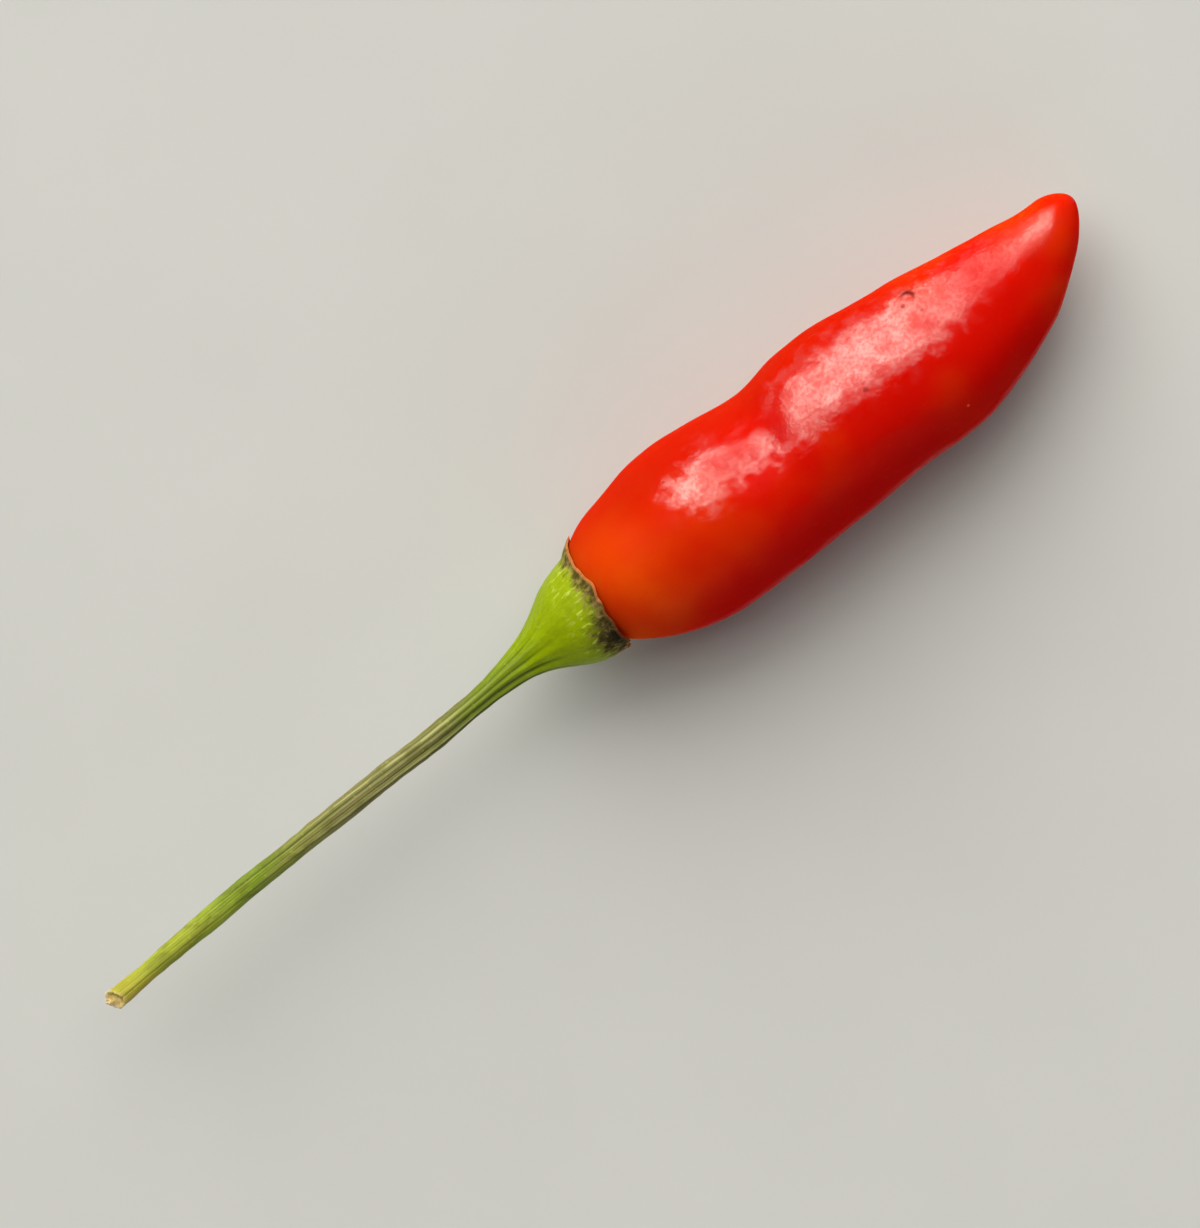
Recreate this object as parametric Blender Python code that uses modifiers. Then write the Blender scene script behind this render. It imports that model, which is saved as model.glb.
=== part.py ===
"""A small ripe pepper, picked with its stalk, lying on its side.

It has three pieces: the pod, the calyx that caps the pod's shoulder, and the pedicel, the
slender stalk that the pod hung by. Units are metres. The surface that it lies on is Z = 0,
+X runs along the pepper to the pod's tip, and the origin is on the flat spot that the pod
rests on, about under the centre of mass. Places along the pepper, each an "along", are
measured from the calyx rim and are positive towards the tip.
"""

import bmesh
import bpy
import numpy as np

# Driving dimensions
MM = 0.001
POD_LENGTH = 38.2 * MM
PEDICEL_END = -39.4 * MM
RIM_X = -13.7 * MM
JOIN_GAP = 0.3 * MM

# The pod: its half width at places along it, before the two ends are rounded off
POD_BUTT = -1.0 * MM
POD_HALF_WIDTH = [
    (POD_BUTT, 5.00 * MM),
    (1.7 * MM, 5.05 * MM),
    (3.4 * MM, 5.12 * MM),
    (6.8 * MM, 5.74 * MM),
    (10.2 * MM, 5.84 * MM),
    (14.8 * MM, 5.73 * MM),
    (18.7 * MM, 5.60 * MM),
    (22.1 * MM, 5.46 * MM),
    (25.5 * MM, 5.15 * MM),
    (28.9 * MM, 4.55 * MM),
    (32.3 * MM, 3.62 * MM),
    (35.7 * MM, 2.25 * MM),
    (POD_LENGTH, 1.35 * MM),
]
SHOULDER_END = 4.5 * MM
TIP_START = 36.2 * MM
POD_HEIGHT_SHARE = 0.97

# The line that every piece is threaded on: along, sideways and height
AXIS = [
    (PEDICEL_END, 1.05 * MM, 8.20 * MM),
    (-34.0 * MM, 1.12 * MM, 8.05 * MM),
    (-28.0 * MM, 1.14 * MM, 7.75 * MM),
    (-20.0 * MM, 1.00 * MM, 7.15 * MM),
    (-12.0 * MM, 0.75 * MM, 6.30 * MM),
    (-6.0 * MM, 0.82 * MM, 5.82 * MM),
    (-3.0 * MM, 0.70 * MM, 5.67 * MM),
    (0.0 * MM, 0.78 * MM, 5.58 * MM),
    (4.5 * MM, 0.34 * MM, 5.48 * MM),
    (9.0 * MM, 0.18 * MM, 5.42 * MM),
    (14.8 * MM, -0.04 * MM, 5.35 * MM),
    (20.0 * MM, -0.22 * MM, 5.22 * MM),
    (25.5 * MM, -0.80 * MM, 4.97 * MM),
    (30.0 * MM, -0.76 * MM, 4.75 * MM),
    (34.0 * MM, -0.34 * MM, 4.52 * MM),
    (POD_LENGTH, 0.97 * MM, 4.30 * MM),
]

# Hollows pressed into the pod, and low swellings, which have a negative depth:
# along, angle in degrees from +Y towards +Z, half length, half spread in degrees, depth
HOLLOWS = [
    (14.5 * MM, 32, 2.2 * MM, 45, 1.10 * MM),
    (13.0 * MM, 108, 2.0 * MM, 20, -0.16 * MM),
    (18.8 * MM, 80, 2.2 * MM, 40, -0.14 * MM),
    (8.5 * MM, 225, 3.0 * MM, 25, 0.20 * MM),
    (27.5 * MM, 65, 3.0 * MM, 30, 0.12 * MM),
]
LOBES = 3
LOBE_SHARE = 0.010
LOBE_TURN_DEG = 20

# The calyx: outer radius from the neck to the rim
CALYX_NECK = -6.0 * MM
CALYX_RADIUS = [
    (CALYX_NECK, 1.20 * MM),
    (-5.1 * MM, 1.50 * MM),
    (-4.25 * MM, 1.92 * MM),
    (-3.4 * MM, 2.42 * MM),
    (-2.55 * MM, 2.90 * MM),
    (-1.7 * MM, 3.20 * MM),
    (-0.85 * MM, 3.40 * MM),
    (0.0 * MM, 3.62 * MM),
]
CUP_END = 0.2 * MM
TOOTH = 0.36 * MM
TOOTH_REACH = 1.2 * MM
TOOTH_FLARE = 0.9
RIM_WAVE = 0.25

# The pedicel: radius from the calyx to the broken end
SCAR_RADIUS = 0.60 * MM
PEDICEL_RADIUS = [
    (PEDICEL_END, SCAR_RADIUS),
    (-38.3 * MM, 0.66 * MM),
    (-36.5 * MM, 0.58 * MM),
    (-34.0 * MM, 0.64 * MM),
    (-30.0 * MM, 0.70 * MM),
    (-25.5 * MM, 0.66 * MM),
    (-20.4 * MM, 0.73 * MM),
    (-13.6 * MM, 0.73 * MM),
    (-8.5 * MM, 0.82 * MM),
    (-6.8 * MM, 1.03 * MM),
    (CALYX_NECK, 1.20 * MM),
]
SCAR_DEPTH = 0.45 * MM
SCAR_RAG = 0.22 * MM
SCAR_REACH = 0.66 * MM

# Ridges round the calyx and the pedicel: one for each tooth, with a low one between each two
TEETH = 5
RIDGE_SHARE = 0.09
RIDGE_MEAN = 0.65
RIDGE_TWIST_DEG = 55

# How finely the pieces are divided, and the distance within which points become one
POD_SIDES, POD_RINGS = 48, 54
STALK_SIDES = 40
PEDICEL_RINGS = 42
CALYX_RINGS = 13
CUP_RINGS = 7
WELD = 0.001 * MM
SHARP_ABOVE_DEG = 50

# Each piece's colour, in linear red, green and blue, and its roughness
LOOKS = {
    "pod": ((0.62, 0.022, 0.006), 0.32),
    "calyx": ((0.30, 0.42, 0.02), 0.5),
    "pedicel": ((0.22, 0.28, 0.04), 0.6),
}


def smooth(stations, along, column=1):
    """The value at each place along, on a smooth curve through the stations (cubic Hermite)."""
    table = np.array(stations)
    x, y = table[:, 0], table[:, column]
    slope = np.gradient(y, x)
    i = np.clip(np.searchsorted(x, along) - 1, 0, len(x) - 2)
    step = x[i + 1] - x[i]
    t = (along - x[i]) / step
    rise = y[i + 1] - y[i]
    bend_in = slope[i] * step - rise
    bend_out = rise - slope[i + 1] * step
    return y[i] + t * rise + t * (1 - t) * ((1 - t) * bend_in + t * bend_out)


def rounded(inside):
    """1 where an end's rounding starts, falling on a quarter ellipse to 0 at the end itself."""
    return np.sqrt(np.clip(1 - np.clip(inside, 0, 1) ** 2, 0, None))


def pod_radius(along):
    """Half the pod's width, closed in a blunt shoulder and a small round tip."""
    butt = rounded((SHOULDER_END - along) / (SHOULDER_END - POD_BUTT))
    tip = rounded((along - TIP_START) / (POD_LENGTH - TIP_START))
    return smooth(POD_HALF_WIDTH, along) * butt * tip


def ridges(angle):
    """Rounded ridges with narrow grooves between, every second one low, from 0 to 1.3."""
    wave = np.cos(TEETH * angle)
    return np.abs(wave) * (1 + 0.3 * wave)


def twist(along):
    """How far the ridges have turned round the stalk at each place, in radians."""
    return np.radians(RIDGE_TWIST_DEG) * (along - CALYX_NECK) / (PEDICEL_END - CALYX_NECK)


def turned(name, profile, sides):
    """A mesh turned about local Z from (radius, along) points that run from the tip's side down."""
    mesh = bpy.data.meshes.new(name + "_profile")
    points = [(radius, 0, along) for radius, along in profile]
    edges = [(i, i + 1) for i in range(len(points) - 1)]
    mesh.from_pydata(points, edges, [])
    outline = bpy.data.objects.new(name + "_profile", mesh)
    bpy.context.scene.collection.objects.link(outline)
    screw = outline.modifiers.new("turn", "SCREW")
    screw.steps = screw.render_steps = sides
    screw.use_merge_vertices = True
    screw.merge_threshold = WELD
    evaluated = outline.evaluated_get(bpy.context.evaluated_depsgraph_get())
    made = bpy.data.meshes.new_from_object(evaluated)
    made.name = name
    bpy.data.objects.remove(outline)
    bpy.data.meshes.remove(mesh)
    return made


def threaded(mesh, shape):
    """Moves a turned mesh onto the pepper's axis. shape gives each point its new along,
    sideways and upward distance from its along, its radius and its angle round from +Y."""
    places = np.zeros(len(mesh.vertices) * 3)
    mesh.vertices.foreach_get("co", places)
    across, up, along = places.reshape(-1, 3).T
    along, sideways, height = shape(along, np.hypot(across, up), np.arctan2(up, across))
    moved = np.stack(
        [
            RIM_X + along,
            smooth(AXIS, along, 1) + sideways,
            smooth(AXIS, along, 2) + height,
        ],
        axis=1,
    )
    mesh.vertices.foreach_set("co", moved.ravel())
    mesh.update()
    return mesh


def pod_shape(along, radius, angle):
    """Three faint lobes, then the hollows and swellings that a pod gets as it grows."""
    lobes = np.cos(LOBES * angle + np.radians(LOBE_TURN_DEG))
    radius = radius * (1 + LOBE_SHARE * lobes)
    for place, turn, length, spread, depth in HOLLOWS:
        away = (np.degrees(angle) - turn + 180) % 360 - 180
        dent = np.exp(-((along - place) ** 2) / (2 * length**2) - away**2 / (2 * spread**2))
        radius = radius - depth * dent
    return along, radius * np.cos(angle), POD_HEIGHT_SHARE * radius * np.sin(angle)


def calyx_shape(along, radius, angle):
    """Ribs that grow from the rim to the neck, and teeth that lie along the pod's shoulder."""
    ribbed = RIDGE_SHARE * along / CALYX_NECK * (ridges(angle) - RIDGE_MEAN)
    near_rim = np.clip(1 + along / TOOTH_REACH, 0, 1) ** 2
    tooth = np.clip(np.cos(TEETH * angle), 0, 1) ** 2 + RIM_WAVE * np.cos(3 * angle + 1)
    shift = TOOTH * near_rim * tooth
    along = along + shift
    radius = radius * (1 + ribbed) + TOOTH_FLARE * shift
    return along, radius * np.cos(angle), POD_HEIGHT_SHARE * radius * np.sin(angle)


def pedicel_shape(along, radius, angle):
    """Ridges that wind slowly round the stalk, and a ragged edge where it broke from the plant."""
    at_end = np.clip(1 - (along - PEDICEL_END) / SCAR_REACH, 0, 1) * radius / SCAR_RADIUS
    ragged = 0.8 + 0.5 * np.sin(3 * angle + 0.5) + 0.3 * np.sin(7 * angle)
    radius = radius * (1 + RIDGE_SHARE * (ridges(angle + twist(along)) - RIDGE_MEAN))
    along = along + SCAR_RAG * at_end * ragged
    return along, radius * np.cos(angle), radius * np.sin(angle)


def pod_mesh():
    """The pod, with a flat spot where it rests."""
    turn = np.linspace(0, np.pi, POD_RINGS + 1)
    middle, half = (POD_LENGTH + POD_BUTT) / 2, (POD_LENGTH - POD_BUTT) / 2
    along = middle + half * np.cos(turn)
    radius = pod_radius(along)
    radius[[0, -1]] = 0
    mesh = threaded(turned("pod", zip(radius, along), POD_SIDES), pod_shape)
    rest_flat(mesh)
    return mesh


def rest_flat(mesh):
    """Cuts off what is below Z = 0 and closes the cut with one flat face."""
    work = bmesh.new()
    work.from_mesh(mesh)
    everything = work.verts[:] + work.edges[:] + work.faces[:]
    cut = bmesh.ops.bisect_plane(
        work, geom=everything, dist=WELD, plane_co=(0, 0, 0), plane_no=(0, 0, 1), clear_inner=True
    )
    edges = [e for e in cut["geom_cut"] if isinstance(e, bmesh.types.BMEdge)]
    bmesh.ops.contextual_create(work, geom=edges)
    bmesh.ops.recalc_face_normals(work, faces=work.faces)
    work.to_mesh(mesh)
    work.free()


def calyx_mesh():
    """The calyx: a cup that stands the joint's gap off the pod's shoulder, closed by its neck."""
    shoulder = POD_BUTT + (CUP_END - POD_BUTT) * np.linspace(0, 1, CUP_RINGS + 1) ** 2
    shoulder_radius = pod_radius(shoulder)
    back, out = np.gradient(shoulder_radius), np.gradient(shoulder)
    reach = JOIN_GAP / np.hypot(back, out)
    cup = shoulder - reach * back
    cup_radius = shoulder_radius + reach * out
    cup_radius[0] = 0
    outside = np.linspace(0, CALYX_NECK, CALYX_RINGS + 1)
    profile = list(zip(cup_radius, cup))
    profile += zip(smooth(CALYX_RADIUS, outside), outside)
    profile.append((0, CALYX_NECK))
    return threaded(turned("calyx", profile, STALK_SIDES), calyx_shape)


def pedicel_mesh():
    """The pedicel, from just clear of the calyx to the hollow scar at its broken end."""
    start = CALYX_NECK - JOIN_GAP
    along = np.linspace(start, PEDICEL_END, PEDICEL_RINGS + 1)
    radius = smooth(PEDICEL_RADIUS, along)
    profile = [(0, start)]
    profile += zip(radius, along)
    profile += [(SCAR_RADIUS * (1 - t), PEDICEL_END + SCAR_DEPTH * t) for t in (0.5, 1)]
    return threaded(turned("pedicel", profile, STALK_SIDES), pedicel_shape)


def material(name):
    """A plain surface of the piece's own colour. Nothing on a plant is metallic."""
    colour, roughness = LOOKS[name]
    made = bpy.data.materials.new(name)
    made.use_nodes = True
    surface = made.node_tree.nodes["Principled BSDF"]
    surface.inputs["Base Color"].default_value = (*colour, 1)
    surface.inputs["Roughness"].default_value = roughness
    surface.inputs["Metallic"].default_value = 0
    return made


def place(mesh, collection):
    """One piece as an object, shaded smooth except across sharp edges."""
    piece = bpy.data.objects.new(mesh.name, mesh)
    mesh.materials.append(material(mesh.name))
    mesh.shade_smooth()
    mesh.set_sharp_from_angle(angle=np.radians(SHARP_ABOVE_DEG))
    collection.objects.link(piece)


def main():
    for thing in list(bpy.data.objects):
        bpy.data.objects.remove(thing)
    pepper = bpy.data.collections.new("pepper")
    bpy.context.scene.collection.children.link(pepper)
    for mesh in (pod_mesh(), calyx_mesh(), pedicel_mesh()):
        place(mesh, pepper)


main()
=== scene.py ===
# %% [markdown]
# # A small ripe pepper, picked with its stalk
#
# A pepper is a berry. Its glossy pod sits in a green cup, the calyx, and the calyx hangs from a
# slender stalk, the pedicel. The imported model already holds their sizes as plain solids. This
# lesson makes the fine surface of each piece over them, gives it the finish of the real plant,
# and lights the whole as a photographer would light something small and glossy.
#
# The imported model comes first, because it is the ruler for all the rest. Its origin is on the
# flat spot that the pod rests on, X runs along the pepper to the pod's tip, and Z is up.

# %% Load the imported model
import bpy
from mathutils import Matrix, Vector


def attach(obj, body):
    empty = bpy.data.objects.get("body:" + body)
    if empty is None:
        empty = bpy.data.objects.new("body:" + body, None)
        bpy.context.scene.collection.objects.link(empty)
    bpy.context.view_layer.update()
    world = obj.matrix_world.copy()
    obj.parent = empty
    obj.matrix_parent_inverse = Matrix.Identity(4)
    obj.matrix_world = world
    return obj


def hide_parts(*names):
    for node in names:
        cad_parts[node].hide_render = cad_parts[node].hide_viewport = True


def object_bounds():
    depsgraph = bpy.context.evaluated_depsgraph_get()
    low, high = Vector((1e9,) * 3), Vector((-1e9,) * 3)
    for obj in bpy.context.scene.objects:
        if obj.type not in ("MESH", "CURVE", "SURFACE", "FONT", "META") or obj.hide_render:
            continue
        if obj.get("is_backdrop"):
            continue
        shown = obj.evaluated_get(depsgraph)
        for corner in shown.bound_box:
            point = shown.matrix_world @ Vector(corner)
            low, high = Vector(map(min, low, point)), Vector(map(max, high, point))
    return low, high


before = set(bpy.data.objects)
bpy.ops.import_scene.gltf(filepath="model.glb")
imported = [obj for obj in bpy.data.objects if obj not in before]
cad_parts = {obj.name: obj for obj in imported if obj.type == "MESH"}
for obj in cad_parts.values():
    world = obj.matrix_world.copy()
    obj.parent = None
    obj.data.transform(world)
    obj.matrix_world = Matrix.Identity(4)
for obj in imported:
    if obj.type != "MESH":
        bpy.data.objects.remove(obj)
model_low, model_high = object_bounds()
print("packed nodes:", sorted(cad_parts))

# %% [markdown]
# ## Measuring along the pepper
#
# A pepper is easiest to describe from the rim of its calyx, where the pod and the stalk meet: so
# far towards the tip, so far back along the stalk. The numbers below are millimetres, because the
# whole thing is no longer than a finger, and they become metres only as they go into a mesh.

# %% Units and the calyx rim
import bpy
import numpy as np

MM = 0.001
POD_LENGTH = 38.2
rim_x = model_high.x / MM - POD_LENGTH
stalk_end = model_low.x / MM - rim_x
print(f"rim at x = {rim_x:.2f} mm, pod {POD_LENGTH:.1f} mm, stalk {-stalk_end:.1f} mm")

# %% [markdown]
# ## A smooth curve through a few stations
#
# Plants have no straight lines and no corners. Each outline here is given by a handful of
# stations, measured places with a value, and a cubic runs through them. A spline object would do
# as well, but a formula can be read at thousands of places in one step.

# %% Read a smooth curve
def smooth(stations, at, column=1):
    """A column of the stations, read at any places.

    Between two stations the value is the straight line between them, plus t (1 - t) times a mix
    of how far the slope at each end departs from that line. A station's slope is taken from the
    stations on both sides of it, so the curve turns no corner.
    """
    table = np.array(stations)
    x, y = table[:, 0], table[:, column]
    slope = np.gradient(y, x)
    i = np.clip(np.searchsorted(x, at) - 1, 0, len(x) - 2)
    step = x[i + 1] - x[i]
    t = (at - x[i]) / step
    rise = y[i + 1] - y[i]
    bend_in = slope[i] * step - rise
    bend_out = rise - slope[i + 1] * step
    return y[i] + t * rise + t * (1 - t) * ((1 - t) * bend_in + t * bend_out)


hump = smooth([(0, 0), (1, 1), (2, 0)], np.array([0.5, 1.5]))
print("a curve through 0, 1 and 0, half way between them:", hump)

# %% [markdown]
# ## The line that the pepper is threaded on
#
# The pod bends towards one side near its tip, and the stalk arches up from the surface, because
# the fat pod holds it off. One line through all three pieces carries both bends. Every surface
# below is worked out round a straight axis first, and is then shifted onto this line.

# %% The axis of the pepper: along, sideways, height
AXIS = [
    (-39.4, 1.05, 8.20),
    (-34.0, 1.12, 8.05),
    (-28.0, 1.14, 7.75),
    (-20.0, 1.00, 7.15),
    (-12.0, 0.75, 6.30),
    (-6.0, 0.82, 5.82),
    (-3.0, 0.70, 5.67),
    (0.0, 0.78, 5.58),
    (4.5, 0.34, 5.48),
    (9.0, 0.18, 5.42),
    (14.8, -0.04, 5.35),
    (20.0, -0.22, 5.22),
    (25.5, -0.80, 4.97),
    (30.0, -0.76, 4.75),
    (34.0, -0.34, 4.52),
    (POD_LENGTH, 0.97, 4.30),
]


def threaded(along, radius, angle, height_share=1.0):
    """Points round the axis: radius times the cosine of the angle goes sideways, towards +Y, and
    radius times its sine, times the height share, goes up."""
    x = rim_x + along
    y = smooth(AXIS, along, 1) + radius * np.cos(angle)
    z = smooth(AXIS, along, 2) + radius * np.sin(angle) * height_share
    return np.stack(np.broadcast_arrays(x, y, z), axis=-1)


axis_heights = threaded(np.array([stalk_end, POD_LENGTH]), 0, 0)[:, 2]
print("axis heights at the stalk's end and at the tip, in mm:", axis_heights.round(2))

# %% [markdown]
# ## From rings of points to a skin
#
# Each piece is a closed tube of rings. The grid of points turns into faces by plain index
# arithmetic, so a surface of fifty thousand faces takes a moment. The last point of a ring joins
# its first, which leaves no seam, and a fan of triangles closes each end.

# %% Make a closed mesh from rings
def closed_skin(name, rings, first_pole, last_pole, **marks):
    """A closed mesh over rings[i, j], point j of ring i, in millimetres.

    Neighbours i, j and i + 1, j + 1 make a quad, and the poles close the first and the last ring.
    With rings that run towards +X on the outside and angles from +Y to +Z, faces point outwards.
    Marks are named values, one for each point, that a material can read. A pole takes the mean
    of the ring next to it.
    """
    count, sides = rings.shape[:2]
    i, j = np.mgrid[0 : count - 1, 0:sides]
    k = (j + 1) % sides
    quads = np.stack([i * sides + j, i * sides + k, (i + 1) * sides + k, (i + 1) * sides + j], -1)
    j = np.arange(sides)
    k = (j + 1) % sides
    last = (count - 1) * sides
    start_fan = np.stack([np.full(sides, count * sides), k, j], -1)
    end_fan = np.stack([np.full(sides, count * sides + 1), last + j, last + k], -1)
    fans = start_fan.tolist() + end_fan.tolist()
    points = np.concatenate([rings.reshape(-1, 3), [first_pole, last_pole]]) * MM
    mesh = bpy.data.meshes.new(name)
    mesh.from_pydata(points, [], quads.reshape(-1, 4).tolist() + fans)
    for mark, values in marks.items():
        width = 3 if np.ndim(values) == 3 else 1
        values = np.broadcast_to(values, (count, sides, width) if width == 3 else (count, sides))
        at_poles = values[[0, -1]].reshape(2, sides, width).mean(1)
        values = np.concatenate([values.reshape(-1, width), at_poles])
        kind, field = ("FLOAT_VECTOR", "vector") if width == 3 else ("FLOAT", "value")
        layer = mesh.attributes.new(mark, kind, "POINT")
        layer.data.foreach_set(field, values.astype(np.float32).ravel())
    mesh.shade_smooth()
    piece = bpy.data.objects.new(name, mesh)
    bpy.context.scene.collection.objects.link(piece)
    print(f"{name}: {len(mesh.vertices)} points, {len(mesh.polygons)} faces")
    return piece


# %% [markdown]
# ## Unevenness without a direction
#
# A pod's skin is taut, yet it rolls gently, and a gloss shows every roll in the edge of its
# highlight. Random noise for each point would only look rough. A sum of long sine waves that run
# every way, each from its own random start, gives soft swellings of one chosen size.

# %% Rolling unevenness
def ripples(points, wavelength, seed, waves=24):
    """A rolling value at each point, mostly between -1 and 1 and seldom beyond -2 or 2.

    It is the sum of sine waves of one wavelength that run in random directions from random
    starts, divided by the square root of half their number.
    """
    draw = np.random.default_rng(seed)
    directions = draw.normal(size=(waves, 3))
    directions /= np.linalg.norm(directions, axis=1, keepdims=True)
    starts = draw.uniform(0, 2 * np.pi, waves)
    turns = points @ directions.T * (2 * np.pi / wavelength) + starts
    return np.sin(turns).sum(-1) / np.sqrt(waves / 2)


swell = ripples(np.linspace((0, 0, 0), (100, 0, 0), 500), 6.5, 3)
print(f"along a line, a swell runs from {swell.min():.2f} to {swell.max():.2f}")

# %% [markdown]
# ## The pod's form
#
# The pod is widest a quarter of the way along, then tapers to a small round tip that points to
# one side. Its half width comes from stations. Each end is rounded off by a quarter of an ellipse,
# which closes the tube without a point. Hollows and swellings are then pressed in as bell curves:
# a deep dent in one flank where something once pressed on it, flatter places along the top, which
# part the highlight into patches, and a small nick. Three faint lobes mark the chambers inside.

# %% The pod's outline and hollows
POD_BUTT = -1.5
POD_HALF_WIDTH = [
    (POD_BUTT, 4.95),
    (1.7, 5.00),
    (3.4, 5.12),
    (6.8, 5.74),
    (10.2, 5.84),
    (14.8, 5.73),
    (18.7, 5.60),
    (22.1, 5.46),
    (25.5, 5.15),
    (28.9, 4.55),
    (32.3, 3.62),
    (35.7, 2.25),
    (POD_LENGTH, 1.35),
]
SHOULDER_END = 4.5
TIP_START = 36.2
POD_HEIGHT_SHARE = 0.97
DENT_ALONG, DENT_ANGLE = 14.0, 28
NICK_ALONG, NICK_ANGLE = 26.6, 38

# along, angle in degrees from +Y towards +Z, half length, half spread in degrees, depth
HOLLOWS = [
    (DENT_ALONG, DENT_ANGLE, 2.1, 38, 0.99),
    (14.4, 45, 0.8, 35, 0.20),
    (12.8, 77, 1.7, 9, 0.20),
    (13.0, 108, 2.0, 20, -0.05),
    (18.8, 80, 2.2, 40, -0.14),
    (8.5, 225, 3.0, 25, 0.20),
    (27.5, 65, 3.0, 30, 0.12),
    (29.5, 47, 4.5, 14, 0.17),
    (28.0, 97, 6.0, 17, 0.24),
    (24.0, 27, 4.5, 13, -0.28),
    (17.0, 45, 1.3, 15, -0.28),
    (NICK_ALONG, NICK_ANGLE, 0.3, 4, 0.05),
]
LOBES, LOBE_SHARE, LOBE_TURN = 3, 0.010, np.radians(20)


def rounded(inside):
    """1 where an end's rounding starts, and the square root of 1 - inside squared beyond it."""
    return np.sqrt(np.clip(1 - np.clip(inside, 0, 1) ** 2, 0, None))


def bell(away, spread):
    """A bell curve: the exponential of away squared over minus twice the spread squared."""
    return np.exp(-(away**2) / (2 * spread**2))


def pressed(hollows, along, angle):
    """How deep a set of hollows goes at each place: the sum of their depths, each times a bell
    curve of the distance from it in length and another in angle."""
    total = 0
    for place, turn, length, spread, depth in hollows:
        away = (np.degrees(angle) - turn + 180) % 360 - 180
        total = total + depth * bell(along - place, length) * bell(away, spread)
    return total


def pod_radius(along, angle):
    """Half the pod's width, times 1 plus a hundredth of the lobes' cosine, less its hollows, all
    of it times both ends' rounding."""
    along = np.clip(along, POD_BUTT, POD_LENGTH)
    ends = rounded((SHOULDER_END - along) / (SHOULDER_END - POD_BUTT))
    ends = ends * rounded((along - TIP_START) / (POD_LENGTH - TIP_START))
    lobed = smooth(POD_HALF_WIDTH, along) * (1 + LOBE_SHARE * np.cos(LOBES * angle + LOBE_TURN))
    return (lobed - pressed(HOLLOWS, along, angle)) * ends


in_dent, beside_dent = pod_radius(np.array([DENT_ALONG, DENT_ALONG / 2]), np.radians(DENT_ANGLE))
print(f"radius {in_dent:.2f} mm in the dent, {beside_dent:.2f} mm beside it")

# %% [markdown]
# ## Where the skin is polished
#
# A ripe pod carries a thin bloom of wax, which dulls its shine. Where the pod was handled and
# where it lies, the bloom is rubbed off: along a strip on top, which stops short of the shoulder
# and narrows at the dent, and all along the underside. Two marks on the mesh say how far each
# point is from these places, and the finish reads them. Weights painted by hand would do as
# well, but a few numbers are easier to change.

# %% Mark the polished places
# along, angles in degrees where the polished strip starts and ends
STRIP = [
    (POD_BUTT, 50, -60),
    (5.0, 50, 5),
    (6.5, 60, 45),
    (7.6, 59, 66),
    (9.0, 52, 83),
    (10.2, 44, 86),
    (11.2, 40, 80),
    (12.5, 46, 78),
    (14.5, 52, 82),
    (16.0, 44, 86),
    (17.0, 41, 88),
    (20.0, 38, 88),
    (23.0, 35, 88),
    (26.0, 32, 86),
    (29.0, 29, 84),
    (31.5, 29, 84),
    (34.0, 34, 86),
    (36.2, 42, 98),
    (POD_LENGTH, 42, 98),
]
DULL_SIDE = 25


def polish_marks(along, angle):
    """Two marks in degrees. Off strip is how far round the pod a point lies outside the polished
    strip, less than 0 on it. Lean is how far it is from the top, 180 below, less 25 times the
    cosine of the angle, so that the side towards +Y stays dull for longer."""
    degrees = (np.degrees(angle) + 90) % 360 - 90
    off_strip = np.maximum(degrees - smooth(STRIP, along, 2), smooth(STRIP, along, 1) - degrees)
    return {"off_strip": off_strip, "lean": np.abs(degrees - 90) - DULL_SIDE * np.cos(angle)}


stops = np.array([8.0, 13.5, 20.0, 30.0])
print("polished strip, degrees wide:", (smooth(STRIP, stops, 2) - smooth(STRIP, stops, 1)).round())

# %% [markdown]
# ## The pod's skin
#
# The skin gets rolls of two sizes over that form. They fade out at both ends, so that the ends
# stay closed. Rings stand closest where the form turns fastest: their places follow a cosine.
# Where the pod rests on the surface its weight flattens it, so heights run out softly towards
# zero and none goes below it.

# %% Model the pod
POD_SIDES, POD_RINGS = 256, 340
POD_ROLLS = [(6.5, 0.045, 3), (2.4, 0.014, 5)]
REST_SOFTNESS = 0.12


def pod_skin(along, angle):
    """The pod's radius plus each size of roll, times its height and a half circle's height over
    the pod's length, which is 0 at both ends."""
    radius = pod_radius(along, angle)
    under = threaded(along, radius, angle, POD_HEIGHT_SHARE)
    middle, half = (POD_LENGTH + POD_BUTT) / 2, (POD_LENGTH - POD_BUTT) / 2
    fade = rounded(np.abs(along - middle) / half)
    for wavelength, height, seed in POD_ROLLS:
        radius = radius + height * fade * ripples(under, wavelength, seed)
    return radius


def rest(points):
    """Heights under the softness s become s times the exponential of height / s - 1, which
    leaves the rest of the pod with the same slope and only nears zero."""
    height = points[..., 2]
    settled = REST_SOFTNESS * np.exp(height / REST_SOFTNESS - 1)
    points[..., 2] = np.where(height < REST_SOFTNESS, settled, height)
    return points


def ring_angles(sides):
    """Equal steps round one turn, from +Y towards +Z, as a row."""
    return np.linspace(0, 2 * np.pi, sides, endpoint=False)[None, :]


sweep = np.linspace(0, np.pi, POD_RINGS + 2)[1:-1, None]
along = (POD_LENGTH + POD_BUTT) / 2 - (POD_LENGTH - POD_BUTT) / 2 * np.cos(sweep)
angle = ring_angles(POD_SIDES)
pod = closed_skin(
    "ripe_pod",
    rest(threaded(along, pod_skin(along, angle), angle, POD_HEIGHT_SHARE)),
    threaded(POD_BUTT, 0, 0),
    threaded(POD_LENGTH, 0, 0),
    **polish_marks(along, angle),
)
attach(pod, "root")
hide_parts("pod")


def on_pod(along, degrees):
    """The point of the pod's skin at a place and an angle, in millimetres."""
    angle = np.radians(degrees)
    return tuple(threaded(along, pod_skin(along, angle), angle, POD_HEIGHT_SHARE))


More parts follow.
